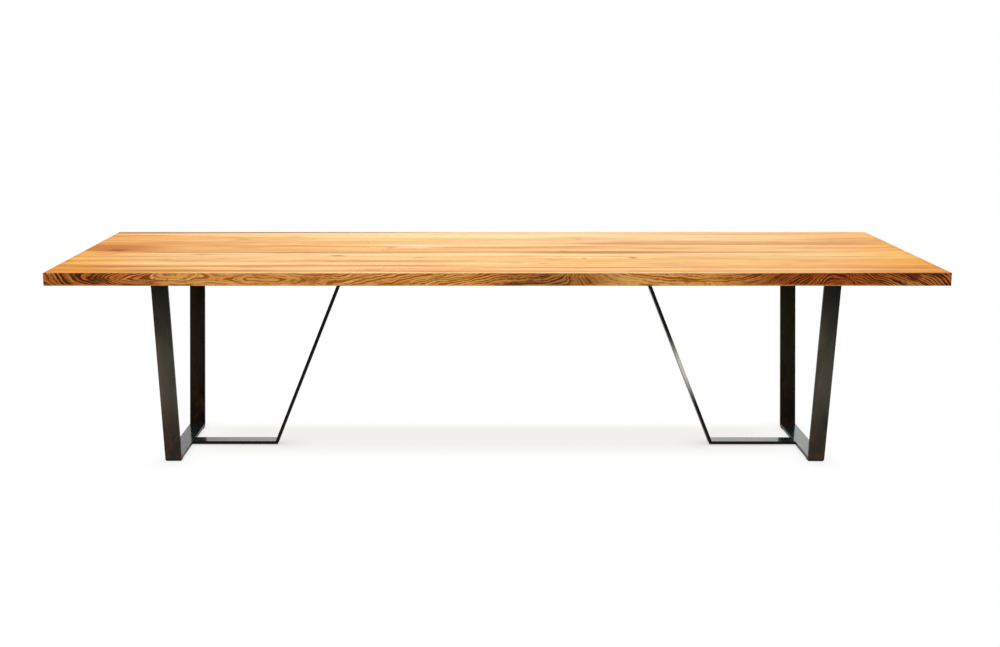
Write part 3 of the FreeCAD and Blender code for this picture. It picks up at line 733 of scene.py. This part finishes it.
zinc = fixingMetal("bolt_zinc", *fixingLook["zinc"])
brass = fixingMetal("insert_brass", *fixingLook["brass"])
rubber = padRubber()
for side in ("left", "right"):
    dress(zinc, f"{side}_bolts", f"{side}_washers")
    dress(brass, f"{side}_inserts")
    dress(rubber, f"{side}_front_pad", f"{side}_rear_pad", f"{side}_inner_pad")
print("fixings and pads dressed")


# studio: pale floor, soft light from above, camera at the photograph's place

studio = {
    "floorSize": 80.0,
    "floorColour": (0.54, 0.535, 0.525),
    "fleck": (3.0, 4.0, 0.6),
    "fleckTone": 0.985,
    "floorGlow": 0.86,
    "shade": {"front": (-0.24, 0.02), "rear": (0.18, 0.33), "side": (0.95, 1.32),
              "tint": (1.0, 0.985, 0.962)},
    "contact": (0.12, 0.70),  # painted contact shadow: reach, least glow
    "ambient": 0.14,
    "darkSide": {"level": 0.03, "behind": (-0.45, 0.10), "above": (-0.02, 0.05)},
    "backdrop": {"middle": 0.05, "fade": (0.14, 0.36), "beside": 0.25},  # angles in radians
    "topLamp": {"at": (0.0, 0.8, 3.4), "size": (5.0, 3.0), "watts": 119.0},
    "frontLamp": {"at": (-0.6, -4.6, 4.6), "size": (6.0, 3.0), "watts": 204.0},
    "lampsAim": (0.0, 0.0, 0.6),
}
cameraLook = {
    "at": (-0.09554, -5.39615, 1.50399),
    "pitch": 10.849,
    "yaw": -0.205,
    "roll": -0.034,
    "focalPixels": 1447.56,
    "imageWidth": 1000.0,
    "axisPixels": -36.44,  # the picture is cut a little off its axis
    "sensor": 36.0,
    "farthest": 200.0,
}
white = (1.0, 1.0, 1.0)


def lightPathShare(tree, *kinds):
    path = addNode(tree, "LightPath")
    share = path.outputs[kinds[0]]
    for kind in kinds[1:]:
        share = calc(tree, "MAXIMUM", share, path.outputs[kind])
    return share


def buildFloor():
    bpy.ops.object.select_all(action="DESELECT")
    bpy.ops.mesh.primitive_plane_add(size=studio["floorSize"], location=(0.0, 0.0, 0.0))
    floor = bpy.context.object
    floor.name = "floor"
    material, tree = newTree("floor_paper")
    place = objectPlace(tree)
    x, y = parted(tree, place)[:2]
    fleck = noise(tree, place, *studio["fleck"])
    tone = tuple(c * studio["fleckTone"] for c in studio["floorColour"])
    colour = mixColour(tree, ranged(tree, fleck, 0.35, 0.65), studio["floorColour"], tone)
    paper = addNode(tree, "BsdfDiffuse", {"Color": colour})

    # the shade of the top on the paper between the frames
    look = studio["shade"]
    shade = times(tree, ranged(tree, y, *look["front"]), ranged(tree, y, *look["rear"], 1.0, 0.0),
                  ranged(tree, calc(tree, "ABSOLUTE", x), *look["side"], 1.0, 0.0))
    # painted contact shadow: the glow dims where the paper is close to the table
    reach, least = studio["contact"]
    near = addNode(tree, "AmbientOcclusion", {"Distance": reach}, samples=16)
    glow = addNode(tree, "Emission", {
        "Color": mixColour(tree, shade, white, look["tint"]),
        "Strength": linear(tree, near.outputs["AO"], 0.0, 1.0, least, 1.0)})
    seen = lightPathShare(tree, "Is Camera Ray", "Is Glossy Ray", "Is Transmission Ray")
    share = times(tree, seen, linear(tree, shade, 0.0, 1.0, 1.0, studio["floorGlow"]))
    blend = addNode(tree, "MixShader", {0: share, 1: paper.outputs[0], 2: glow.outputs[0]})
    addNode(tree, "OutputMaterial", {"Surface": blend.outputs[0]})
    floor.data.materials.append(material)


def buildWorld():
    world = bpy.data.worlds.new("studio")
    bpy.context.scene.world = world
    world.use_nodes = True
    tree = world.node_tree
    tree.nodes.clear()
    seen = lightPathShare(tree, "Is Camera Ray", "Is Transmission Ray")
    mirrored = lightPathShare(tree, "Is Glossy Ray")

    # the room is white behind the table, greyer beside it and dim above and behind the viewer
    x, y, z = parted(tree, addNode(tree, "TexCoord").outputs["Generated"])
    dark, backdrop = studio["darkSide"], studio["backdrop"]
    dim = times(tree, ranged(tree, y, *dark["behind"], 1.0, 0.0), ranged(tree, z, *dark["above"]))
    angle = calc(tree, "SUBTRACT", calc(tree, "ARCTAN2", x, y), backdrop["middle"])
    room = ranged(tree, calc(tree, "ABSOLUTE", angle), *backdrop["fade"], 1.0, backdrop["beside"])
    room = times(tree, room, linear(tree, dim, 0.0, 1.0, 1.0, dark["level"]))
    level = times(tree, mirrored, calc(tree, "SUBTRACT", room, studio["ambient"]))
    level = calc(tree, "MAXIMUM", calc(tree, "ADD", level, studio["ambient"]), seen)
    back = addNode(tree, "Background", {"Color": (*white, 1.0), "Strength": level})
    addNode(tree, "OutputWorld", {"Surface": back.outputs[0]})


def addLamp(name, look):
    data = bpy.data.lights.new(name, "AREA")
    data.shape = "RECTANGLE"
    data.size, data.size_y = look["size"]
    data.energy = look["watts"]
    lamp = bpy.data.objects.new(name, data)
    bpy.context.scene.collection.objects.link(lamp)
    lamp.location = look["at"]
    aim = Vector(studio["lampsAim"]) - lamp.location
    lamp.rotation_euler = aim.to_track_quat("-Z", "Y").to_euler()
    lamp.visible_glossy = False  # the bars mirror the white room, not the lamps


def addCamera(look):
    data = bpy.data.cameras.new("camera")
    data.sensor_fit = "HORIZONTAL"
    data.sensor_width = look["sensor"]
    data.lens = look["focalPixels"] / look["imageWidth"] * look["sensor"]
    data.shift_x = -look["axisPixels"] / look["imageWidth"]
    data.clip_end = look["farthest"]
    camera = bpy.data.objects.new("camera", data)
    bpy.context.scene.collection.objects.link(camera)
    turn = (Matrix.Rotation(math.radians(-look["yaw"]), 4, "Z")
            @ Matrix.Rotation(math.radians(90.0 - look["pitch"]), 4, "X")
            @ Matrix.Rotation(math.radians(look["roll"]), 4, "Z"))
    camera.matrix_world = Matrix.Translation(look["at"]) @ turn
    bpy.context.scene.camera = camera


buildFloor()
buildWorld()
addLamp("top_lamp", studio["topLamp"])
addLamp("front_lamp", studio["frontLamp"])
addCamera(cameraLook)
bpy.context.scene.view_settings.view_transform = "Standard"
print("studio built")
